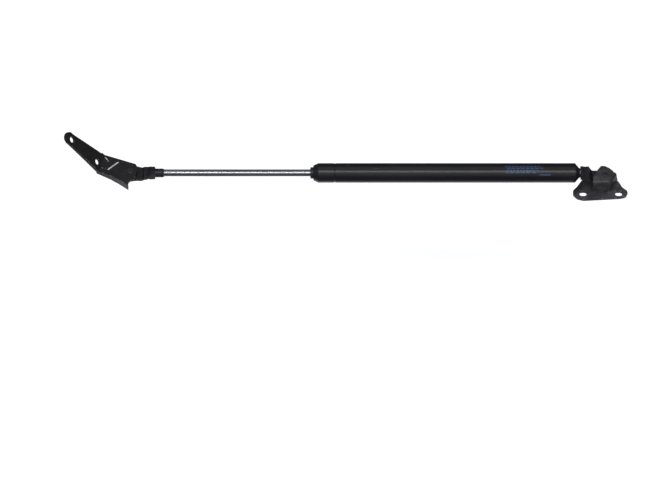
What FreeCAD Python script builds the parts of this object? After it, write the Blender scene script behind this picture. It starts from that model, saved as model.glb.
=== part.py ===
import FreeCAD, Part
import Sketcher
import math
import os
import re

# Gas strut stay with a riveted bracket at each end.
#
# Row frame: +Z stands off the mounting face of the tube-side bracket, X runs along the strut with the
# rod towards -X, and the origin is midway between the two slots of the tube-side bracket, on the face
# that bolts down. Lengths are in millimetres and angles in degrees.

# Driving dimensions. "axial" stations are measured from the tube-side rivet, positive towards the rod.
DIMENSIONS = {
    # whole strut
    "pivot_side": 16.0,            # rivets lie this far to +Y of the slot line
    "pivot_along": 4.5,            # tube-side rivet past the middle of the slots
    "axis_height": 20.0,           # strut axis above the mounting face
    "tube_eye_drop": 7.5,          # the eyes sit this far under the strut axis
    "rod_eye_drop": 1.4,
    "rivet_span": 532.0,           # rivet to rivet, extended
    # cylinder
    "tube_outer_r": 11.0,
    "tube_inner_r": 9.6,
    "tube_rear": 34.0,             # rear end of the full diameter
    "tube_swage_end": 30.0,
    "swage_r": 5.1,
    "tube_front": 321.5,           # front end of the full diameter
    "lip_front": 327.0,
    "lip_r": 8.2,
    "crimp_at": 303.0,
    "crimp_half": 1.6,
    "crimp_depth": 0.45,
    "wall": 1.4,
    # front seal stack
    "boss_front": 330.4,
    "boss_r": 6.5,
    "guide_length": 16.0,
    "guide_bush_r": 5.4,
    "seal_length": 5.0,
    "backup_thick": 1.5,
    "o_ring_r": 0.9,
    "skin_gap": 0.02,              # slip fit between stationary internal pieces
    # rod
    "rod_r": 4.0,
    "rod_running": 0.05,           # radial clearance of the running fits on the rod
    "rod_neck_r": 2.5,
    "collar_front": 495.0,
    "collar_back": 504.0,
    "collar_r": 5.0,
    # piston
    "sleeve_length": 22.0,
    "sleeve_outer_r": 6.4,
    "piston_length": 9.0,
    "piston_r": 9.1,
    "ring_groove_r": 7.4,
    "ring_width": 3.4,
    "ring_skin": 0.06,
    "disc_thick": 1.0,
    "disc_r": 7.8,
    "washer_thick": 1.2,
    "nut_thick": 4.0,
    "nut_flats": 8.0,
    # end links and pivots
    "link_thick": 3.2,
    "eye_r": 10.0,
    "tube_link_neck": 12.0,
    "tube_link_waist": 16.0,
    "rod_link_neck": 11.0,
    "rod_link_waist": 15.0,
    "rivet_r": 4.0,
    "pivot_running": 0.05,
    "bush_r": 5.0,
    "bush_flange_r": 7.0,
    "pivot_washer_thick": 0.8,
    "pivot_washer_r": 7.4,
    "rivet_head_r": 6.8,
    "rivet_head_thick": 2.2,
    "rivet_form_r": 3.8,
    "rivet_form_high": 1.1,
    "rivet_dimple_r": 1.5,
    # brackets
    "sheet_thick": 2.6,
    "slot_half": 20.0,             # slot centres either side of the origin
    "slot_long": 8.0,
    "slot_r": 2.75,
    "slot_dish": 1.8,
    "slot_dish_deep": 0.5,
    # arm bracket
    "arm_yaw": 14.0,
    "arm_rise": 50.0,
    "arm_bend_at": 32.5,
    "arm_bend_r": 3.0,
    "arm_reach": 57.0,
    "arm_hole_r": 3.3,
    "arm_hole_near": 4.6,
    "arm_hole_far": 46.6,
    "arm_hole_side": 0.4,
}

doc = FreeCAD.newDocument("gas_strut_stay")
sheet = doc.addObject("Spreadsheet::Sheet", "Dimensions")
parts = []


def fill_sheet():
    """Write one named cell for each driving dimension."""
    for row, (alias, value) in enumerate(DIMENSIONS.items(), start=1):
        sheet.set(f"A{row}", alias)
        sheet.set(f"B{row}", str(value))
        sheet.setAlias(f"B{row}", alias)
    doc.recompute()


def size(alias):
    """Value of one cell of the sheet."""
    return float(getattr(sheet, alias))


def swap_aliases(expression, write):
    """Replace each alias in an expression, longest first, by what write gives for it."""
    names = sorted(DIMENSIONS, key=len, reverse=True)
    return re.sub("|".join(names), lambda match: write(match.group(0)), expression)


def cells(expression):
    """Expression in plain aliases, turned into one that reads the sheet."""
    return swap_aliases(expression, lambda alias: f"Dimensions.{alias}")


def number(expression):
    """Value that an expression in aliases has now, to draw a sketch near its final place."""
    return FreeCAD.Units.Quantity(swap_aliases(expression, lambda alias: f"({size(alias)})")).Value


def new_body(label):
    """Start one sub-part as a PartDesign body with its own label."""
    body = doc.addObject("PartDesign::Body", label)
    body.Label = label
    parts.append(body)
    return body


def origin_plane(body, role):
    """One of the body's own origin planes, such as XY_Plane."""
    return next(plane for plane in body.Origin.OriginFeatures if plane.Role == role)


def new_sketch(body, name, role, offset=None):
    """Sketch on an origin plane, moved along the plane's normal by an expression."""
    sketch = body.newObject("Sketcher::SketchObject", f"{body.Label}_{name}")
    sketch.AttachmentSupport = [(origin_plane(body, role), "")]
    sketch.MapMode = "FlatFace"
    if offset is not None:
        sketch.setExpression("AttachmentOffset.Base.z", cells(offset))
    return sketch


def bind_point(sketch, edge, x_text, y_text):
    """Fix the start of an edge at two expressions, measured from the sketch's origin."""
    for kind, text, axis in (("DistanceX", x_text, -2), ("DistanceY", y_text, -1)):
        value = number(text)
        if abs(value) < 1e-9:
            sketch.addConstraint(Sketcher.Constraint("PointOnObject", edge, 1, axis))
            continue
        index = sketch.addConstraint(Sketcher.Constraint(kind, -1, 1, edge, 1, value))
        sketch.setExpression(f"Constraints[{index}]", cells(text))


def draw_outline(sketch, points):
    """Closed run of lines whose corners are bound to pairs of expressions."""
    corners = [FreeCAD.Vector(number(x_text), number(y_text), 0) for x_text, y_text in points]
    first = sketch.GeometryCount
    count = len(points)
    for index in range(count):
        line = Part.LineSegment(corners[index], corners[(index + 1) % count])
        sketch.addGeometry(line, False)
    for index in range(count):
        following = first + (index + 1) % count
        sketch.addConstraint(Sketcher.Constraint("Coincident", first + index, 2, following, 1))
    for index, (x_text, y_text) in enumerate(points):
        bind_point(sketch, first + index, x_text, y_text)


def draw_circle(sketch, radius, x_text="0", y_text="0"):
    """Circle whose centre and radius are bound to expressions."""
    centre = FreeCAD.Vector(number(x_text), number(y_text), 0)
    circle = Part.Circle(centre, FreeCAD.Vector(0, 0, 1), number(radius))
    edge = sketch.addGeometry(circle, False)
    for kind, text, axis in (("DistanceX", x_text, -2), ("DistanceY", y_text, -1)):
        value = number(text)
        if abs(value) < 1e-9:
            sketch.addConstraint(Sketcher.Constraint("PointOnObject", edge, 3, axis))
            continue
        index = sketch.addConstraint(Sketcher.Constraint(kind, -1, 1, edge, 3, value))
        sketch.setExpression(f"Constraints[{index}]", cells(text))
    index = sketch.addConstraint(Sketcher.Constraint("Radius", edge, number(radius)))
    sketch.setExpression(f"Constraints[{index}]", cells(radius))


def place_on_axis(item):
    """Put a piece drawn along +X from the tube-side rivet onto the strut's axis, rod towards -X."""
    item.Placement = FreeCAD.Placement(
        FreeCAD.Vector(0, 0, 0), FreeCAD.Rotation(FreeCAD.Vector(0, 0, 1), 180)
    )
    item.setExpression("Placement.Base.x", cells("pivot_along"))
    item.setExpression("Placement.Base.y", cells("pivot_side"))
    item.setExpression("Placement.Base.z", cells("axis_height"))


def place_at_rivet(item, along="pivot_along"):
    """Put a piece drawn around the Z axis, zero at axis height, onto one of the two rivets."""
    item.setExpression("Placement.Base.x", cells(along))
    item.setExpression("Placement.Base.y", cells("pivot_side"))
    item.setExpression("Placement.Base.z", cells("axis_height"))


def turn(body, profile, axis_name, name="profile"):
    """Turned solid from a half profile in the XZ plane, about that sketch's X or Y axis."""
    sketch = new_sketch(body, name, "XZ_Plane")
    draw_outline(sketch, profile)
    revolution = body.newObject("PartDesign::Revolution", f"{body.Label}_turn_{name}")
    revolution.Profile = sketch
    revolution.ReferenceAxis = (sketch, [axis_name])
    revolution.Angle = 360
    return revolution


def turned_piece(label, profile):
    """Piece of the strut, turned about the strut's axis: profile pairs are station and radius."""
    body = new_body(label)
    turn(body, profile, "H_Axis")
    place_on_axis(body)
    return body


def rivet_piece(label, profile, along="pivot_along"):
    """Piece of a pivot, turned about the rivet's axis: profile pairs are radius and height."""
    body = new_body(label)
    turn(body, profile, "V_Axis")
    place_at_rivet(body, along)
    return body


def ring(start, end, inner, outer):
    """Rectangular half profile of a ring."""
    return [(start, inner), (end, inner), (end, outer), (start, outer)]


def cylinder_tube():
    """Steel tube: swaged rear, crimp groove that holds the guide, and front lip rolled inwards."""
    turned_piece("cylinder_tube", [
        ("tube_swage_end", "swage_r"),
        ("tube_swage_end", "swage_r + 1.1"),
        ("tube_rear", "tube_outer_r"),
        ("crimp_at - crimp_half", "tube_outer_r"),
        ("crimp_at", "tube_outer_r - crimp_depth"),
        ("crimp_at + crimp_half", "tube_outer_r"),
        ("tube_front", "tube_outer_r"),
        ("lip_front - 0.6", "lip_r + 0.5"),
        ("lip_front", "lip_r"),
        ("lip_front", "boss_r"),
        ("lip_front - wall", "boss_r"),
        ("tube_front - 0.6", "tube_inner_r"),
        ("crimp_at + crimp_half", "tube_inner_r"),
        ("crimp_at", "tube_inner_r - crimp_depth"),
        ("crimp_at - crimp_half", "tube_inner_r"),
        ("tube_rear + wall", "tube_inner_r"),
        ("tube_swage_end + wall", "swage_r"),
    ])


def seal_stack():
    """What closes the front of the tube, from the outside in: boss, seal, washer, guide, bush, ring."""
    seat = "tube_front - 3"
    seal_back = f"{seat} - seal_length"
    guide_front = f"{seal_back} - backup_thick"
    guide_back = f"{guide_front} - guide_length"
    turned_piece("front_seal_boss", [
        (seat, "rod_r + 0.3"),
        ("boss_front", "rod_r + 0.3"),
        ("boss_front", "boss_r - 0.6"),
        ("boss_front - 0.6", "boss_r"),
        (f"{seat} + 2", "boss_r"),
        (f"{seat} + 2", "tube_inner_r - 0.2"),
        (seat, "tube_inner_r - 0.2"),
    ])
    turned_piece("rod_seal", ring(seal_back, seat, "rod_r + rod_running", "tube_inner_r"))
    turned_piece("seal_backup_washer", ring(guide_front, seal_back, "rod_r + 0.3", "tube_inner_r"))
    turned_piece("rod_guide", [
        (guide_back, "guide_bush_r"),
        (guide_front, "guide_bush_r"),
        (guide_front, "tube_inner_r"),
        (f"{guide_front} - 2", "tube_inner_r"),
        (f"{guide_front} - 2", "tube_inner_r - 2 * o_ring_r"),
        (f"{guide_front} - 2 - 2 * o_ring_r", "tube_inner_r - 2 * o_ring_r"),
        (f"{guide_front} - 2 - 2 * o_ring_r", "tube_inner_r"),
        ("crimp_at + crimp_half", "tube_inner_r"),
        ("crimp_at", "tube_inner_r - crimp_depth"),
        ("crimp_at - crimp_half", "tube_inner_r"),
        (guide_back, "tube_inner_r"),
    ])
    turned_piece("guide_bush", ring(
        f"{guide_back} + 1", f"{guide_front} - 1", "rod_r + rod_running", "guide_bush_r"))
    o_ring = doc.addObject("Part::Torus", "guide_o_ring")
    o_ring.Label = "guide_o_ring"
    o_ring.setExpression("Radius1", cells("tube_inner_r - o_ring_r"))
    o_ring.setExpression("Radius2", cells("o_ring_r - skin_gap"))
    o_ring.Placement.Rotation = FreeCAD.Rotation(FreeCAD.Vector(0, 1, 0), 90)
    o_ring.setExpression("Placement.Base.x", cells(f"pivot_along - ({guide_front} - 2 - o_ring_r)"))
    o_ring.setExpression("Placement.Base.y", cells("pivot_side"))
    o_ring.setExpression("Placement.Base.z", cells("axis_height"))
    parts.append(o_ring)


def end_plug():
    """Plug welded into the rear of the tube, with the stub that carries the tube-side link."""
    turned_piece("end_plug", [
        ("tube_swage_end - 2", "0"),
        ("tube_swage_end - 2", "swage_r"),
        ("tube_rear + wall", "swage_r"),
        ("tube_rear + wall", "tube_inner_r"),
        ("tube_rear + wall + 5", "tube_inner_r"),
        ("tube_rear + wall + 5", "0"),
    ])


def weld_beads():
    """Weld rings where the tube-side plug leaves the tube and where the rod meets its link."""
    turned_piece("tube_weld_bead", [
        ("tube_swage_end", "swage_r"),
        ("tube_swage_end", "swage_r + 0.8"),
        ("tube_swage_end - 0.9", "swage_r + 0.6"),
        ("tube_swage_end - 1.5", "swage_r"),
    ])
    turned_piece("rod_weld_bead", [
        ("collar_front", "rod_r"),
        ("collar_front", "rod_r + 0.75"),
        ("collar_front - 0.6", "rod_r + 0.6"),
        ("collar_front - 1.2", "rod_r"),
    ])


def rod_train():
    """Rod and collar, then the stop sleeve, piston, disc, washer and nut on the rod's inner end."""
    sleeve_front = "tube_front - 3 - seal_length - backup_thick - guide_length - 0.2"
    shoulder = f"{sleeve_front} - sleeve_length"
    piston_rear = f"{shoulder} - piston_length"
    disc_rear = f"{piston_rear} - disc_thick"
    washer_rear = f"{disc_rear} - washer_thick"
    nut_rear = f"{washer_rear} - nut_thick"
    groove_rear = f"{piston_rear} + (piston_length - ring_width) / 2"
    turned_piece("piston_rod", [
        (f"{nut_rear} - 1", "0"),
        (f"{nut_rear} - 1", "rod_neck_r - 0.5"),
        (f"{nut_rear} - 0.5", "rod_neck_r"),
        (shoulder, "rod_neck_r"),
        (shoulder, "rod_r"),
        ("collar_back", "rod_r"),
        ("collar_back", "0"),
    ])
    turned_piece("rod_collar", [
        ("collar_front", "rod_r"),
        ("collar_front", "collar_r - 0.5"),
        ("collar_front + 0.8", "collar_r"),
        ("collar_back", "collar_r"),
        ("collar_back", "rod_r"),
    ])
    turned_piece("stop_sleeve", ring(shoulder, sleeve_front, "rod_r", "sleeve_outer_r"))
    turned_piece("piston", [
        (piston_rear, "rod_neck_r"),
        (shoulder, "rod_neck_r"),
        (shoulder, "piston_r"),
        (f"{groove_rear} + ring_width", "piston_r"),
        (f"{groove_rear} + ring_width", "ring_groove_r"),
        (groove_rear, "ring_groove_r"),
        (groove_rear, "piston_r"),
        (piston_rear, "piston_r"),
    ])
    turned_piece("piston_seal_ring", ring(
        f"{groove_rear} + ring_skin", f"{groove_rear} + ring_width - ring_skin",
        "ring_groove_r + ring_skin", "tube_inner_r - ring_skin"))
    turned_piece("orifice_disc", ring(disc_rear, piston_rear, "rod_neck_r", "disc_r"))
    turned_piece("piston_washer", ring(washer_rear, disc_rear, "rod_neck_r", "disc_r - 1"))
    piston_nut(nut_rear)


def piston_nut(nut_rear):
    """Hexagon nut peened onto the inner end of the rod."""
    body = new_body("piston_nut")
    sketch = new_sketch(body, "hexagon", "YZ_Plane", nut_rear)
    half = "nut_flats / 2"
    corner = "nut_flats / 1.7320508"
    draw_outline(sketch, [
        (half, f"{corner} / 2"),
        ("0", corner),
        (f"-{half}", f"{corner} / 2"),
        (f"-{half}", f"-{corner} / 2"),
        ("0", f"-{corner}"),
        (half, f"-{corner} / 2"),
    ])
    draw_circle(sketch, "rod_neck_r")
    pad = body.newObject("PartDesign::Pad", "piston_nut_pad")
    pad.Profile = sketch
    pad.setExpression("Length", cells("nut_thick"))
    place_on_axis(body)


def side_cut(body, name, centre, towards, face):
    """Remove what lies beyond one face of a link: face pairs are distance from the rivet and height."""
    sketch = new_sketch(body, name, "XZ_Plane")
    beyond = f"{face[-1][1]} + 30" if name == "upper" else f"{face[-1][1]} - 30"
    stations = [(f"{centre} {towards} ({along})", height) for along, height in face]
    draw_outline(sketch, stations + [(stations[-1][0], beyond), (stations[0][0], beyond)])
    pocket = body.newObject("PartDesign::Pocket", f"{body.Label}_{name}_cut")
    pocket.Profile = sketch
    pocket.Midplane = True
    pocket.Length = 60
    return pocket


def link(label, centre, towards, root, eye, drop, steps):
    """Forged eye strap. It drops from the strut axis to the eye, with its steps seen from the side."""
    body = new_body(label)
    plan = new_sketch(body, "plan", "XY_Plane")
    half = [
        (f"{eye} * 0.3", f"{eye} * 0.954"),
        (f"{root} - 9", f"{label}_waist / 2"),
        (root, f"{label}_neck / 2"),
    ]
    upper = [(f"{centre} {towards} ({along})", wide) for along, wide in half]
    lower = [(along, f"-({wide})") for along, wide in reversed(upper)]
    draw_outline(plan, upper + lower)
    strap = body.newObject("PartDesign::Pad", f"{label}_strap")
    strap.Profile = plan
    strap.Midplane = True
    strap.Length = 24
    round_end = new_sketch(body, "eye", "XY_Plane")
    draw_circle(round_end, eye, centre)
    eye_pad = body.newObject("PartDesign::Pad", f"{label}_eye_pad")
    eye_pad.Profile = round_end
    eye_pad.Midplane = True
    eye_pad.Length = 24
    start = ("-eye_r - 2", f"-{drop}", 1.0)
    for name, sign in (("upper", "+"), ("lower", "-")):
        face = [(along, f"{middle} {sign} link_thick * {thick} / 2") for along, middle, thick in [start] + steps]
        side_cut(body, name, centre, towards, face)
    hole = new_sketch(body, "hole", "XY_Plane")
    draw_circle(hole, "bush_r", centre)
    bore = body.newObject("PartDesign::Pocket", f"{label}_bore")
    bore.Profile = hole
    bore.Midplane = True
    bore.Length = 60
    place_on_axis(body)


def links():
    """Eye strap of each end, up to the plug's stub and up to the rod's collar."""
    link("tube_link", "0", "+", "tube_swage_end - 2", "(eye_r - 2.2)", "tube_eye_drop", [
        ("14", "-tube_eye_drop", 1.0),
        ("15", "-tube_eye_drop + 0.8", 1.35),
        ("18.5", "-0.5", 1.35),
        ("19.5", "0", 1.1),
        ("23.5", "0", 1.5),
        ("25.5", "0", 2.6),
        ("tube_swage_end - 1", "0", 3.0),
    ])
    link("rod_link", "rivet_span", "-", "rivet_span - collar_back", "eye_r", "rod_eye_drop", [
        ("8.5", "-rod_eye_drop", 1.0),
        ("11.5", "-rod_eye_drop - 0.9", 1.0),
        ("13.5", "-rod_eye_drop - 0.9", 1.0),
        ("16", "-rod_eye_drop / 2", 1.2),
        ("18", "-rod_eye_drop / 2", 1.2),
        ("20.5", "0", 1.2),
        ("22.5", "0", 2.0),
        ("rivet_span - collar_back + 1", "0", 2.9),
    ])


def pivot(end, along):
    """Rivet, flanged bush and thrust washer of one pivot; heights are measured from the strut axis."""
    low = f"-{end}_eye_drop - link_thick / 2"
    high = f"-{end}_eye_drop + link_thick / 2"
    plate_low = f"{high} + pivot_washer_thick"
    plate_high = f"{plate_low} + sheet_thick"
    head_top = f"{low} - 0.8"
    rivet_piece(f"{end}_pivot_bush", [
        ("rivet_r + pivot_running", f"{low} - 0.7"),
        ("bush_flange_r", f"{low} - 0.7"),
        ("bush_flange_r", low),
        ("bush_r", low),
        ("bush_r", high),
        ("rivet_r + pivot_running", high),
    ], along)
    rivet_piece(f"{end}_pivot_washer", [
        ("rivet_r", f"{high} + 0.05"),
        ("pivot_washer_r", f"{high} + 0.05"),
        ("pivot_washer_r", plate_low),
        ("rivet_r", plate_low),
    ], along)
    rivet_piece(f"{end}_rivet", [
        ("0", f"{head_top} - rivet_head_thick"),
        ("rivet_head_r - 0.8", f"{head_top} - rivet_head_thick"),
        ("rivet_head_r", f"{head_top} - rivet_head_thick + 0.8"),
        ("rivet_head_r", head_top),
        ("rivet_r", head_top),
        ("rivet_r", plate_low),
        ("rivet_form_r - 1.2", plate_low),
        ("rivet_form_r - 1.2", plate_high),
        ("rivet_form_r - 0.2", plate_high),
        ("rivet_form_r - 0.2", f"{plate_high} + 0.4"),
        ("rivet_form_r - 1.1", f"{plate_high} + rivet_form_high"),
        ("rivet_dimple_r", f"{plate_high} + rivet_form_high"),
        ("rivet_dimple_r - 0.6", f"{plate_high} + 0.1"),
        ("0", f"{plate_high} - 0.1"),
    ], along)


def vectors(points, height=0.0):
    """Plan points, as vectors at one height."""
    return [FreeCAD.Vector(x_value, y_value, height) for x_value, y_value in points]


def prism(points, low, high):
    """Upright solid on a plan outline, between two heights."""
    corners = vectors(points, low)
    face = Part.Face(Part.makePolygon(corners + corners[:1]))
    return face.extrude(FreeCAD.Vector(0, 0, high - low))


def beyond_plane(first, second, third):
    """Large solid on the far side of the plane through three points, seen anticlockwise from there."""
    normal = (second - first).cross(third - first).normalize()
    along = (second - first).normalize() * 200
    across = normal.cross(along)
    corners = [first - along - across, first + along - across, first + along + across, first - along + across]
    return Part.Face(Part.makePolygon(corners + corners[:1])).extrude(normal * 90)


def sloped_block(foot, head, low, high):
    """Solid whose flat sides lean in from a foot outline to a head outline, both anticlockwise."""
    below = vectors(foot, low)
    above = vectors(head, high)
    block = prism(foot, low, high)
    for index in range(len(below)):
        following = (index + 1) % len(below)
        if (above[index] - below[index]).Length - (high - low) > 1e-6:
            block = block.cut(beyond_plane(below[index], below[following], above[index]))
    return block


def rounded(shape, radius, keep):
    """Fillet the edges whose bounding box passes a test."""
    return shape.makeFillet(radius, [edge for edge in shape.Edges if keep(edge.BoundBox)])


def slot(centre, radius, low, high):
    """Rounded slot along X as a solid, its centre on the X axis."""
    reach = size("slot_long") / 2 - size("slot_r")
    box = Part.makeBox(2 * reach, 2 * radius, high - low, FreeCAD.Vector(centre - reach, -radius, low))
    ends = [
        Part.makeCylinder(radius, high - low, FreeCAD.Vector(centre + side * reach, 0, low))
        for side in (-1, 1)
    ]
    return box.fuse(ends).removeSplitter()


def add_feature(label, shape, placement=None):
    """Add a sub-part whose shape is made by Part's own functions."""
    feature = doc.addObject("Part::Feature", label)
    feature.Label = label
    feature.Shape = shape
    if placement is not None:
        feature.Placement = placement
    parts.append(feature)
    return feature


def plate_height(end):
    """Height of the underside of the bracket plate that one rivet holds."""
    eye = size("axis_height") - size(f"{end}_eye_drop")
    return eye + size("link_thick") / 2 + size("pivot_washer_thick")


def crown(plateau, inset):
    """Sloped block of the plateau and its walls, drawn inwards by an inset for its hollow side."""
    lean = 3.0 / plateau
    foot = [(-9.5 - inset, 2 + inset), (11 - inset * 0.65, 2 + inset), (20.5 - inset, 17 + inset * 0.2),
            (20.5 - inset, 32 + inset), (-9.5 - inset, 32 + inset)]
    top = plateau - inset
    shift = lean * top
    head = [(foot[0][0], foot[0][1] + shift), (foot[1][0] - shift * 0.5, foot[1][1] + shift),
            (foot[2][0] - shift * 1.13, foot[2][1]), (foot[3][0] - shift * 1.13, foot[3][1]), foot[4]]
    slope = (foot[2][0] - foot[1][0]) / (foot[2][1] - foot[1][1])
    head[2] = (head[2][0], head[1][1] + (head[2][0] - head[1][0]) / slope)
    block = sloped_block(foot, head, 0, top)
    block = rounded(block, 5.0 - inset, lambda box: box.ZLength > 8 and box.XMin > 0 and box.YMax < 24)
    return rounded(block, 3.0 - inset * 0.9, lambda box: box.ZMin > top - 0.1
                   and box.XMax > -5 and box.YMin < 31)


def tube_bracket():
    """Pressed bracket: a flange with two slots, and a plateau over the eye on two sloped walls."""
    thick = size("sheet_thick")
    under = plate_height("tube")
    plateau = under + thick
    shell = crown(plateau, 0.0).cut(crown(plateau, thick))
    trim = prism([(-30, 8), (-9.6, 8), (-8.6, 13), (-3.2, 23), (0.8, 28), (5, 27.6), (10, 24.6), (13, 21.4),
                  (15, 18.6), (24, 18), (40, 60), (-40, 60)], -1, plateau + 1)
    shell = shell.cut(trim)
    flange = prism([(-31, 4.5), (-26.5, 9.5), (-19, 21), (-6.0, 21), (-6.0, 3.4), (10.5, 3.4), (19.1, 17),
                    (20.8, 17), (24.6, 8.9), (29.6, 4.4), (30.4, 0.6), (27.4, -4.4), (20, -5.8), (-10, -7.8),
                    (-20, -8.4), (-27, -6.3), (-31.4, -1)], 0, thick)
    flange = rounded(flange, 3.5, lambda box: box.XLength < 0.01 and box.YLength < 0.01
                     and (box.YMax < 10) and not (-10 < box.XMin < 10 and box.YMin > 0))
    body = shell.fuse(flange).removeSplitter()
    half = size("slot_half")
    dish = size("slot_r") + size("slot_dish")
    for centre in (-half, half):
        body = body.cut(slot(centre, dish, thick - size("slot_dish_deep"), thick + 1))
        body = body.cut(slot(centre, size("slot_r"), -1, thick + 1))
    rivet_hole = Part.makeCylinder(size("rivet_form_r") - 1.2, 40,
                                   FreeCAD.Vector(size("pivot_along"), size("pivot_side"), 0))
    add_feature("tube_bracket", body.cut(rivet_hole))


def arm_place(run):
    """Placement of the arm's plane in the pad's frame: along the arm, across it, and off its underside."""
    thick = size("sheet_thick")
    inner = size("arm_bend_r")
    rise = size("arm_rise")
    angle = math.radians(rise)
    start = FreeCAD.Vector(
        run + (inner + thick) * math.sin(angle), 0, thick + inner - (inner + thick) * math.cos(angle)
    )
    return FreeCAD.Placement(start, FreeCAD.Rotation(FreeCAD.Vector(0, 1, 0), -rise))


def bent_sheet(run, place):
    """Sheet seen from the side: flat pad, bend upwards, then the straight arm."""
    thick = size("sheet_thick")
    inner = size("arm_bend_r")
    reach = size("arm_reach")
    flat = Part.makeBox(run + 12, 60, thick, FreeCAD.Vector(-12, -30, 0))
    centre = FreeCAD.Vector(run, -30, thick + inner)
    across = FreeCAD.Vector(0, 1, 0)
    bend = Part.makeCylinder(inner + thick, 60, centre, across)
    bend = bend.cut(Part.makeCylinder(inner, 60, centre, across))
    wedge = Part.makePolygon([
        centre,
        centre + FreeCAD.Vector(0, 0, -20),
        centre + FreeCAD.Vector(20 * math.tan(math.radians(size("arm_rise") / 2)), 0, -20),
        centre + place.Rotation.multVec(FreeCAD.Vector(0, 0, -20)),
        centre,
    ])
    bend = bend.common(Part.Face(wedge).extrude(FreeCAD.Vector(0, 60, 0)))
    arm = Part.makeBox(reach + 1, 60, thick, FreeCAD.Vector(0, -30, 0))
    arm.Placement = place
    return flat.fuse([bend, arm]).removeSplitter()


def arm_outline(depth_low, depth_high):
    """Upright solid on the arm's outline, in the arm's own plane: tapered, with a round end."""
    reach = size("arm_reach")
    corners = vectors([(-4, 7.9), (reach - 9, 6.8), (reach, -0.2), (reach - 9, -7.1), (6, -13.2), (-4, -14.4)],
                      depth_low)
    tip = Part.Arc(corners[1], corners[2], corners[3]).toShape()
    edges = [Part.makeLine(corners[0], corners[1]), tip, Part.makeLine(corners[3], corners[4]),
             Part.makeLine(corners[4], corners[5]), Part.makeLine(corners[5], corners[0])]
    return Part.Face(Part.Wire(edges)).extrude(FreeCAD.Vector(0, 0, depth_high - depth_low))


def side_prism(points):
    """Solid on an outline seen from the side, right across the arm."""
    corners = [FreeCAD.Vector(along, -40, height) for along, height in points]
    return Part.Face(Part.makePolygon(corners + corners[:1])).extrude(FreeCAD.Vector(0, 80, 0))


def arm_flanges(place):
    """Edge turned down along the pad and, ever shallower, along the arm."""
    thick = size("sheet_thick")
    reach = size("arm_reach")
    pad_strip = prism([(-3, 19.4), (11, 13.6), (20, 11.2), (37, 9.0), (37, 6.5), (19.6, 8.7), (10.2, 11.0),
                       (-4.2, 16.9)], -20, thick)
    pad_side = side_prism([(-8, thick / 2), (38, thick / 2), (38, -2), (14, -6.6), (-8, -7)])
    arm_strip = prism([(-7, 8.0), (reach - 9, 6.8), (reach - 9, 4.3), (-7, 5.5)], -20, thick)
    arm_side = side_prism([(-7, thick / 2), (reach - 9, thick / 2), (reach - 9, -0.1), (20, -1.2), (-7, -2.6)])
    arm_flange = arm_strip.common(arm_side)
    arm_flange.Placement = place
    return [pad_strip.common(pad_side), arm_flange]


def rod_bracket():
    """Pressed arm: pad over the eye, stiffening step, bend, and an arm that rises to its two holes."""
    thick = size("sheet_thick")
    run = size("arm_bend_at")
    place = arm_place(run)
    pad_keep = prism([(-7.6, -6.5), (-3, -11), (run, -14.7), (run + 4.5, -14.7), (run + 4.5, 9.0), (20, 11.2),
                      (11, 13.6), (-3, 19.4), (-7.6, 9.4)], -1, 9)
    arm_keep = arm_outline(-1, thick + 1)
    arm_keep.Placement = place
    body = bent_sheet(run, place).common(pad_keep.fuse(arm_keep))
    step = sloped_block([(24.6, 4.2), (16.2, -8.6), (run + 1, -12.6), (run + 1, 4.2)],
                        [(24.9, 3.4), (17.8, -7.4), (run + 1, -11.0), (run + 1, 3.4)],
                        thick - 0.2, thick + 0.9)
    body = body.fuse(arm_flanges(place) + [step]).removeSplitter()
    relief = Part.makeCylinder(6.35, 40, FreeCAD.Vector(-8.9, 16.4, -20))
    body = body.cut(relief)
    body = body.cut(Part.makeCylinder(size("rivet_form_r") - 1.2, 20, FreeCAD.Vector(0, 0, -10)))
    for along in (size("arm_hole_near"), size("arm_hole_far")):
        hole = Part.makeCylinder(size("arm_hole_r"), 30, FreeCAD.Vector(along, -size("arm_hole_side"), -15))
        hole.Placement = place
        body = body.cut(hole)
    at_rivet = FreeCAD.Vector(
        size("pivot_along") - size("rivet_span"), size("pivot_side"), plate_height("rod")
    )
    turn_about = FreeCAD.Rotation(FreeCAD.Vector(0, 0, 1), 180 - size("arm_yaw"))
    add_feature("rod_bracket", body, FreeCAD.Placement(at_rivet, turn_about))


def finish_and_export():
    """Check every object and sub-part, then write one STEP file for each node."""
    doc.recompute()
    broken = [item.Name for item in doc.Objects if {"Invalid", "Error"} & set(item.State)]
    if broken:
        raise RuntimeError(f"failed objects: {broken}")
    os.makedirs("parts", exist_ok=True)
    for part in parts:
        shape = part.Shape
        if shape.isNull() or not shape.isValid() or shape.Volume <= 0:
            raise RuntimeError(f"bad shape: {part.Label}")
        shape.exportStep(os.path.join("parts", f"{part.Label}.step"))
        print(part.Label, "solids", len(shape.Solids), "volume", round(shape.Volume, 1))


fill_sheet()
cylinder_tube()
seal_stack()
end_plug()
weld_beads()
rod_train()
links()
pivot("tube", "pivot_along")
pivot("rod", "pivot_along - rivet_span")
tube_bracket()
rod_bracket()
finish_and_export()
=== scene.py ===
import math

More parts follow.
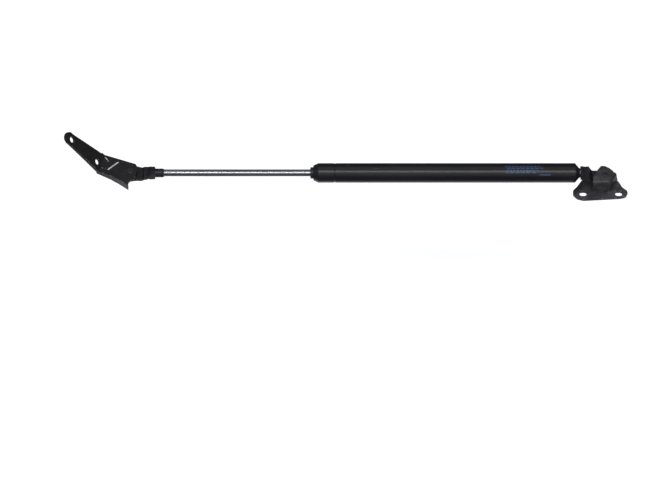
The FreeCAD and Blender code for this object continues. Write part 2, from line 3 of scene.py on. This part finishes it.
import bpy
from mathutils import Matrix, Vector


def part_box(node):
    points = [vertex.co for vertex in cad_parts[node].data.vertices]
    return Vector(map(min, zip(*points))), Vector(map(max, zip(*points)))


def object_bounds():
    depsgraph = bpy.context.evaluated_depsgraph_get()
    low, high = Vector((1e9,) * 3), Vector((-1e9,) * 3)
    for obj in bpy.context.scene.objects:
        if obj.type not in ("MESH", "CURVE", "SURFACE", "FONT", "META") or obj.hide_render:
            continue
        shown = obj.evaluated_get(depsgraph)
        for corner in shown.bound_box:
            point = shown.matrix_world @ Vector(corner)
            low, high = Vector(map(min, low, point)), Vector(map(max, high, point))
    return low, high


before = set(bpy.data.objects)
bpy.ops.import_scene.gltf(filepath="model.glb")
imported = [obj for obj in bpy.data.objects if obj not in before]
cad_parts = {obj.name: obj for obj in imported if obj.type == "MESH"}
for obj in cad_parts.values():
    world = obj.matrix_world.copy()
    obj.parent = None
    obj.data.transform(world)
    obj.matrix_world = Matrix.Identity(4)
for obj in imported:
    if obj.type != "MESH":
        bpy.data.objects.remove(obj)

CAD_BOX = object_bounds()
MM = 0.001

TUBE_LOW, TUBE_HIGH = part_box("cylinder_tube")
AXIS = (TUBE_LOW + TUBE_HIGH) / 2
TUBE_RADIUS = (TUBE_HIGH.z - TUBE_LOW.z) / 2

# The camera looks down at 55 degrees, square to the strut.
ELEVATION = math.radians(55)
TO_CAMERA = Vector((0, -math.cos(ELEVATION), math.sin(ELEVATION)))
SCREEN_UP = Vector((0, math.sin(ELEVATION), math.cos(ELEVATION)))
FRAME_WIDTH = 0.747
LENS_MM = 150
SENSOR_MM = 36
BELOW_STRUT = 0.0863           # the middle of the view lies this far under the strut
LEFT_OF_MIDDLE = 0.0155        # and this far towards the rod
FLOOR_DROP = 0.30

# The dim room that only reflections see.
ROOM_REACH = 3.5
ROOM_GLOW = 0.09               # all round
FLOOR_GLOW = 1.3               # the extra light that comes up from beneath

# Places on the object, from its own pieces.
ROD_PIVOT = sum(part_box("rod_rivet"), Vector()) / 2
PRINT_START = TUBE_HIGH.x - 83.0 * MM
PRINT_LOWEST_MM = -26.4        # arc length from the +Y side of the tube to the lowest row
PRINT_PITCH_MM = 2.5
PRINT_HALF_MM = 0.8
PRINT_SLIP_MM = 1.3            # each row's bars start this much out of step with the row below
# Each row: where it starts and ends, then the period and filled share of its bars.
PRINT_ROWS_MM = [
    (38, 51, 26.0, 0.98),
    (1, 35, 6.1, 0.72),
    (0, 38, 3.7, 0.55),
    (2, 43, 5.3, 0.7),
    (0, 41, 4.1, 0.62),
]
# Painted highlight lines along the arm's pressed step and its bend, in the colour of steel worn bare: two
# ends from the rod-side rivet, and half width.
ARM_RUB_GLINTS_MM = [
    ((-24.9, 1.9), (-13.6, 12.3), 0.45),
    ((-29.0, 19.2), (-24.7, 13.0), 0.35),
]


# ---------------------------------------------------------------- colours and nodes

def colour(code):
    """Linear RGBA of an sRGB hex colour."""
    parts = [int(code[place:place + 2], 16) / 255 for place in (1, 3, 5)]
    return [value / 12.92 if value <= 0.04045 else ((value + 0.055) / 1.055) ** 2.4 for value in parts] + [1]


def add(tree, kind, settings=None, **links):
    """Add one node with its settings; each link is a value or a socket for the input of that name."""
    made = tree.nodes.new(kind)
    for name, value in (settings or {}).items():
        setattr(made, name, value)
    for name, value in links.items():
        place = int(name[1:]) if name[0] == "i" and name[1:].isdigit() else name.replace("_", " ")
        socket = made.inputs[place]
        if isinstance(value, bpy.types.NodeSocket):
            tree.links.new(value, socket)
        else:
            socket.default_value = value
    return made


def start_material(name):
    """Empty node material with its output."""
    made = bpy.data.materials.new(name)
    made.use_nodes = True
    made.node_tree.nodes.clear()
    return made, made.node_tree


def shade(tree, **inputs):
    """Principled surface wired to the material's output."""
    surface = add(tree, "ShaderNodeBsdfPrincipled", None, **inputs)
    add(tree, "ShaderNodeOutputMaterial", None, Surface=surface.outputs[0])
    return surface


def place(tree):
    """Object coordinates, in metres in the part's own frame."""
    return add(tree, "ShaderNodeTexCoord").outputs["Object"]


def maths(tree, operation, first, second=0.0):
    """One arithmetic step."""
    return add(tree, "ShaderNodeMath", {"operation": operation}, i0=first, i1=second).outputs[0]


def dot(tree, first, second):
    """Dot product of two vectors."""
    made = add(tree, "ShaderNodeVectorMath", {"operation": "DOT_PRODUCT"}, i0=first, i1=second)
    return made.outputs["Value"]


def noise(tree, where, size_mm, detail=3.0, stretch=(1, 1, 1)):
    """Noise whose lumps are about size_mm across, longer along an axis whose stretch is under one."""
    scaled = add(tree, "ShaderNodeVectorMath", {"operation": "MULTIPLY"}, i0=where, i1=stretch).outputs[0]
    return add(tree, "ShaderNodeTexNoise", None, Vector=scaled, Scale=1 / (size_mm * MM), Detail=detail,
               Roughness=0.6).outputs[0]


def ramp(tree, value, low, high, from_value=0.0, to_value=1.0):
    """Clamped straight ramp of a value between two limits."""
    made = add(tree, "ShaderNodeMapRange", {"clamp": True}, Value=value, From_Min=low, From_Max=high,
               To_Min=from_value, To_Max=to_value)
    return made.outputs[0]


def blend(tree, share, first, second):
    """Mix of two colours."""
    made = add(tree, "ShaderNodeMix", {"data_type": "RGBA"}, i0=share, i6=first, i7=second)
    return made.outputs[2]


def bump(tree, height, depth_mm, normal=None):
    """Normal of a bumped surface."""
    made = add(tree, "ShaderNodeBump", None, Height=height, Strength=1.0, Distance=depth_mm * MM)
    if normal is not None:
        tree.links.new(normal, made.inputs["Normal"])
    return made.outputs[0]


def soft_edge(tree, radius_mm):
    """Normal that rounds the sharp edges of sheet and forgings."""
    return add(tree, "ShaderNodeBevel", {"samples": 6}, Radius=radius_mm * MM).outputs[0]


def edge_mask(tree, radius_mm, reach):
    """One on the edges, nought on the flats: where the rounded normal leaves the true one."""
    rounded = soft_edge(tree, radius_mm)
    true = add(tree, "ShaderNodeNewGeometry").outputs["Normal"]
    return ramp(tree, dot(tree, rounded, true), 1.0 - reach, 1.0, 1.0, 0.0)


def mask_band(tree, value, low, high, soft):
    """One between two limits, with soft ends."""
    rise = ramp(tree, value, low - soft, low + soft)
    fall = ramp(tree, value, high - soft, high + soft, 1.0, 0.0)
    return maths(tree, "MULTIPLY", rise, fall)


# ---------------------------------------------------------------- finishes

def printed_bars(tree, where):
    """Rows of plain faded bars on the side of the tube: position along X, and round it as an arc length."""
    split = add(tree, "ShaderNodeSeparateXYZ", None, Vector=where)
    across = maths(tree, "SUBTRACT", split.outputs["Y"], AXIS.y)
    height = maths(tree, "SUBTRACT", split.outputs["Z"], AXIS.z)
    turn = maths(tree, "ARCTAN2", height, across)
    arc = maths(tree, "MULTIPLY", turn, -TUBE_RADIUS)
    along = maths(tree, "SUBTRACT", split.outputs["X"], PRINT_START)
    marks = None
    for row, (first, last, period, share) in enumerate(PRINT_ROWS_MM):
        middle = PRINT_LOWEST_MM + row * PRINT_PITCH_MM
        low, high = (middle - PRINT_HALF_MM) * MM, (middle + PRINT_HALF_MM) * MM
        band = mask_band(tree, arc, low, high, 0.15 * MM)
        span = mask_band(tree, along, first * MM, last * MM, 0.1 * MM)
        slipped = maths(tree, "ADD", along, row * PRINT_SLIP_MM * MM)
        cycle = maths(tree, "PINGPONG", slipped, period * MM / 2)
        bar_edge = period / 2 * (1 - share)
        dash = ramp(tree, cycle, (bar_edge - 0.1) * MM, (bar_edge + 0.1) * MM)
        row_mask = maths(tree, "MULTIPLY", maths(tree, "MULTIPLY", band, span), dash)
        marks = row_mask if marks is None else maths(tree, "MAXIMUM", marks, row_mask)
    worn = ramp(tree, noise(tree, where, 1.1, 4), 0.34, 0.6, 0.25, 1.0)
    return maths(tree, "MULTIPLY", marks, worn)


def satin_black_paint():
    """Stoved satin black paint on drawn tube: faint orange peel, a few rubs, and faded blue print."""
    made, tree = start_material("satin_black_paint")
    where = place(tree)
    cloud = ramp(tree, noise(tree, where, 30, 2, (0.35, 1, 1)), 0.35, 0.65)
    base = blend(tree, cloud, colour("#0e0e11"), colour("#141418"))
    rub = ramp(tree, noise(tree, where, 5, 5, (0.25, 1, 1)), 0.66, 0.74)
    base = blend(tree, maths(tree, "MULTIPLY", rub, 0.35), base, colour("#55565c"))
    base = blend(tree, maths(tree, "MULTIPLY", printed_bars(tree, where), 0.62), base, colour("#33568a"))
    rough = maths(tree, "ADD", ramp(tree, noise(tree, where, 2.5, 4), 0.3, 0.7, 0.30, 0.36),
                  maths(tree, "MULTIPLY", rub, 0.12))
    peel = bump(tree, noise(tree, where, 1.6, 2), 0.008)
    shade(tree, Base_Color=base, Roughness=rough, Normal=peel)
    return made


def rub_glint_line(tree, where, first, last, half_mm):
    """Painted highlight drawn as a straight line of worn bare steel through the coat, between two points in X
    and Y.
    """
    run = last - first
    along = Vector((run.x, run.y, 0)).normalized()
    square = Vector((-along.y, along.x, 0))
    from_first = add(tree, "ShaderNodeVectorMath", {"operation": "SUBTRACT"}, i0=where, i1=first).outputs[0]
    width = mask_band(tree, dot(tree, from_first, square), -half_mm * MM, half_mm * MM, 0.2 * MM)
    length = mask_band(tree, dot(tree, from_first, along), 0.0, run.length, 0.6 * MM)
    return maths(tree, "MULTIPLY", width, length)


def black_electrocoat(name, low, high, rub_glints=()):
    """Thin black dip coat on pressed steel: soft sheen, worn to bare steel on its edges, and bright bare
    steel lines that are painted highlight.
    """
    made, tree = start_material(name)
    where = place(tree)
    patch = ramp(tree, noise(tree, where, 9, 3), 0.4, 0.62)
    base = blend(tree, patch, colour(low), colour(high))
    brown = ramp(tree, noise(tree, where, 26, 2), 0.45, 0.62)
    base = blend(tree, maths(tree, "MULTIPLY", brown, 0.4), base, colour("#181413"))
    edge = edge_mask(tree, 0.5, 0.16)
    chip = ramp(tree, noise(tree, where, 2.6, 5), 0.55, 0.63)
    bare = maths(tree, "MULTIPLY", edge, chip)
    fleck = ramp(tree, noise(tree, where, 0.9, 3), 0.735, 0.76)
    bare = maths(tree, "MAXIMUM", bare, maths(tree, "MULTIPLY", fleck, 0.6))
    broken = ramp(tree, noise(tree, where, 1.8, 4), 0.38, 0.5)
    # Painted highlight: the given lines, broken up, drawn in the bare steel colour.
    for first, last, half_mm in rub_glints:
        line = maths(tree, "MULTIPLY", rub_glint_line(tree, where, first, last, half_mm), broken)
        bare = maths(tree, "MAXIMUM", bare, line)
    base = blend(tree, bare, base, colour("#d5d6da"))
    rough = ramp(tree, noise(tree, where, 3.2, 4), 0.3, 0.7, 0.34, 0.5)
    grain = bump(tree, noise(tree, where, 0.7, 3), 0.02, soft_edge(tree, 0.5))
    shade(tree, Base_Color=base, Roughness=rough, Metallic=maths(tree, "MULTIPLY", bare, 0.3), Normal=grain)
    return made


def forged_electrocoat():
    """The same dip coat over a forged eye: coarser scale under the coat and duller."""
    made, tree = start_material("forged_electrocoat")
    where = place(tree)
    base = blend(tree, ramp(tree, noise(tree, where, 5, 4), 0.4, 0.6), colour("#101013"), colour("#19191d"))
    worn = ramp(tree, noise(tree, where, 2, 4), 0.56, 0.64)
    chip = maths(tree, "MULTIPLY", edge_mask(tree, 0.6, 0.16), worn)
    base = blend(tree, chip, base, colour("#8d8e93"))
    rough = ramp(tree, noise(tree, where, 2.2, 4), 0.3, 0.7, 0.36, 0.5)
    scale = bump(tree, noise(tree, where, 1.8, 4), 0.08, soft_edge(tree, 0.7))
    shade(tree, Base_Color=base, Roughness=rough, Metallic=maths(tree, "MULTIPLY", chip, 0.8), Normal=scale)
    return made


def hard_chrome():
    """Ground and polished hard chrome: mirror bright, with very fine rings and faint drawn streaks."""
    made, tree = start_material("hard_chrome")
    where = place(tree)
    streak = ramp(tree, noise(tree, where, 2.2, 4, (0.03, 1, 1)), 0.35, 0.65)
    base = blend(tree, streak, colour("#9a9da2"), colour("#bcbfc4"))
    rough = ramp(tree, noise(tree, where, 1.2, 3, (0.05, 1, 1)), 0.3, 0.7, 0.12, 0.22)
    ground = bump(tree, noise(tree, where, 0.5, 2, (2.0, 0.1, 0.1)), 0.0008)
    shade(tree, Base_Color=base, Metallic=1.0, Roughness=rough, Normal=ground)
    return made


def plain_finish(name, low, high, metallic, rough, lump_mm, depth_mm):
    """Shared pattern of the small parts: two close colours in lumps of a real size, and a fine bump."""
    made, tree = start_material(name)
    where = place(tree)
    share = ramp(tree, noise(tree, where, lump_mm, 4), 0.35, 0.65)
    base = blend(tree, share, colour(low), colour(high))
    uneven = ramp(tree, noise(tree, where, lump_mm * 0.6, 3), 0.3, 0.7, rough - 0.06, rough + 0.08)
    fine = bump(tree, noise(tree, where, lump_mm * 0.3, 3), depth_mm, soft_edge(tree, 0.25))
    shade(tree, Base_Color=base, Metallic=metallic, Roughness=uneven, Normal=fine)
    return made


# ---------------------------------------------------------------- the object

def finish_nodes():
    """Give every piece of the model its finish."""
    paint = satin_black_paint()
    # Painted highlight lines on the rod bracket's arm, drawn as bare steel.
    arm_rub_glints = [
        (ROD_PIVOT + Vector((*first, 0)) * MM, ROD_PIVOT + Vector((*last, 0)) * MM, half_mm)
        for first, last, half_mm in ARM_RUB_GLINTS_MM
    ]
    arm_coat = black_electrocoat("rub_glint_black_electrocoat", "#0f0f12", "#17171a", arm_rub_glints)
    # Lighter copy of the same black coat for the tube bracket: painted sheen for the light that its raised
    # plateau catches.
    pressed = black_electrocoat("sheen_lightened_black_electrocoat", "#252528", "#38383b")
    forged = forged_electrocoat()
    chrome = hard_chrome()
    turned = plain_finish("turned_mild_steel", "#8f9194", "#a7a9ac", 1.0, 0.32, 1.2, 0.006)
    sintered = plain_finish("sintered_iron", "#5a5b5d", "#6d6e70", 0.9, 0.5, 0.7, 0.02)
    bronze = plain_finish("oiled_sintered_bronze", "#8a6a3a", "#a07c48", 0.95, 0.42, 0.7, 0.015)
    nitrile = plain_finish("moulded_nitrile_rubber", "#141414", "#1d1d1e", 0.0, 0.62, 1.5, 0.01)
    acetal = plain_finish("turned_acetal_ring", "#d9d8d0", "#e4e3dc", 0.0, 0.4, 2.0, 0.006)
    cap = plain_finish("moulded_black_nylon", "#17171a", "#202024", 0.0, 0.45, 1.6, 0.012)
    dark_steel = plain_finish("coated_rivet_steel", "#222228", "#34343c", 0.35, 0.4, 1.4, 0.015)
    weld = plain_finish("dull_weld_steel", "#4a4a4d", "#6a6a6e", 0.8, 0.45, 1.1, 0.05)
    finishes = {
        paint: ["cylinder_tube", "tube_weld_bead"],
        arm_coat: ["rod_bracket"],
        pressed: ["tube_bracket"],
        forged: ["tube_link", "rod_link", "rod_collar"],
        chrome: ["piston_rod"],
        dark_steel: ["tube_rivet", "rod_rivet", "tube_pivot_washer", "rod_pivot_washer"],
        cap: ["front_seal_boss"],
        turned: ["end_plug", "seal_backup_washer", "orifice_disc", "piston_washer", "piston_nut",
                 "stop_sleeve"],
        sintered: ["rod_guide", "piston"],
        bronze: ["guide_bush", "tube_pivot_bush", "rod_pivot_bush"],
        nitrile: ["rod_seal", "guide_o_ring"],
        acetal: ["piston_seal_ring"],
        weld: ["rod_weld_bead"],
    }
    for finish, nodes in finishes.items():
        for node in nodes:
            mesh = bpy.data.objects[node].data
            mesh.materials.clear()
            mesh.materials.append(finish)


# ---------------------------------------------------------------- floor, light and camera

def lamp_direction(height):
    """Direction square to the strut, this many degrees up from the near horizon."""
    angle = math.radians(height)
    return 0, -math.cos(angle), math.sin(angle)


def make_floor():
    """Plain pale floor, well under the part."""
    mesh = bpy.data.meshes.new("floor")
    reach = 4.0
    level = CAD_BOX[0].z - FLOOR_DROP
    corners = [(-reach, -reach, level), (reach, -reach, level), (reach, reach, level), (-reach, reach, level)]
    mesh.from_pydata(corners, [], [(0, 1, 2, 3)])
    floor = bpy.data.objects.new("floor", mesh)
    bpy.context.scene.collection.objects.link(floor)
    made, tree = start_material("pale_floor")
    shade(tree, Base_Color=colour("#f7f7f7"), Roughness=0.9)
    mesh.materials.append(made)
    floor.visible_glossy = False


def make_light(name, direction, distance, width, height, power, tone="#ffffff"):
    """Soft rectangular lamp aimed at the middle of the strut, its width along the strut."""
    data = bpy.data.lights.new(name, "AREA")
    data.shape = "RECTANGLE"
    data.size = width
    data.size_y = height
    data.energy = power
    data.color = colour(tone)[:3]
    lamp = bpy.data.objects.new(name, data)
    bpy.context.scene.collection.objects.link(lamp)
    middle = (CAD_BOX[0] + CAD_BOX[1]) / 2
    lamp.location = middle + Vector(direction).normalized() * distance
    lamp.rotation_mode = "QUATERNION"
    lamp.rotation_quaternion = (middle - lamp.location).to_track_quat("-Z", "Y")
    return lamp


def make_dim_room():
    """Dim room seen only in reflections, so the glossy pieces stay dark between the lamps."""
    mesh = bpy.data.meshes.new("dim_room")
    reach = ROOM_REACH
    plan = [(-reach, -reach), (reach, -reach), (reach, reach), (-reach, reach)]
    corners = [(x, y, z) for z in (-reach, reach) for x, y in plan]
    walls = [(side, (side + 1) % 4, (side + 1) % 4 + 4, side + 4) for side in range(4)]
    mesh.from_pydata(corners, [], [(3, 2, 1, 0), (4, 5, 6, 7)] + walls)
    room = bpy.data.objects.new("dim_room", mesh)
    bpy.context.scene.collection.objects.link(room)
    room.visible_camera = False
    room.visible_diffuse = False
    room.visible_transmission = False
    room.visible_shadow = False
    made, tree = start_material("dim_room")
    split = add(tree, "ShaderNodeSeparateXYZ", None, Vector=place(tree))
    low = ramp(tree, split.outputs["Z"], -reach, 0.1 - reach, 1.0, 0.0)
    under = maths(tree, "MULTIPLY", low, ramp(tree, split.outputs["Y"], -2.6, -0.8))
    strength = maths(tree, "ADD", maths(tree, "MULTIPLY", under, FLOOR_GLOW), ROOM_GLOW)
    glow = add(tree, "ShaderNodeEmission", None, Color=colour("#f2f4fa"), Strength=strength)
    add(tree, "ShaderNodeOutputMaterial", None, Surface=glow.outputs[0])
    mesh.materials.append(made)


def make_studio():
    """White surroundings and three soft lamps."""
    world = bpy.data.worlds.new("studio")
    world.use_nodes = True
    tree = world.node_tree
    tree.nodes.clear()
    backdrop = add(tree, "ShaderNodeBackground", None, Color=colour("#fafbfd"), Strength=0.95)
    add(tree, "ShaderNodeOutputWorld", None, Surface=backdrop.outputs[0])
    bpy.context.scene.world = world
    make_light("strip", lamp_direction(70), 1.4, 2.2, 0.16, 11)
    make_light("front", lamp_direction(38), 1.6, 2.0, 0.9, 2.6)
    make_light("back", lamp_direction(112), 1.6, 1.8, 0.6, 1.8)


def make_camera():
    """Long lens, square to the strut, with the strut in the upper part of the view."""
    data = bpy.data.cameras.new("camera")
    data.lens = LENS_MM
    data.sensor_width = SENSOR_MM
    camera = bpy.data.objects.new("camera", data)
    bpy.context.scene.collection.objects.link(camera)
    middle = Vector(((CAD_BOX[0].x + CAD_BOX[1].x) / 2, AXIS.y, AXIS.z))
    target = middle - SCREEN_UP * BELOW_STRUT - Vector((LEFT_OF_MIDDLE, 0, 0))
    camera.location = target + TO_CAMERA * (FRAME_WIDTH * LENS_MM / SENSOR_MM)
    camera.rotation_mode = "QUATERNION"
    camera.rotation_quaternion = (-TO_CAMERA).to_track_quat("-Z", "Y")
    data.clip_start = 0.05
    data.clip_end = 50
    bpy.context.scene.camera = camera
    bpy.context.scene.view_settings.view_transform = "Standard"


finish_nodes()
make_floor()
make_dim_room()
make_studio()
make_camera()
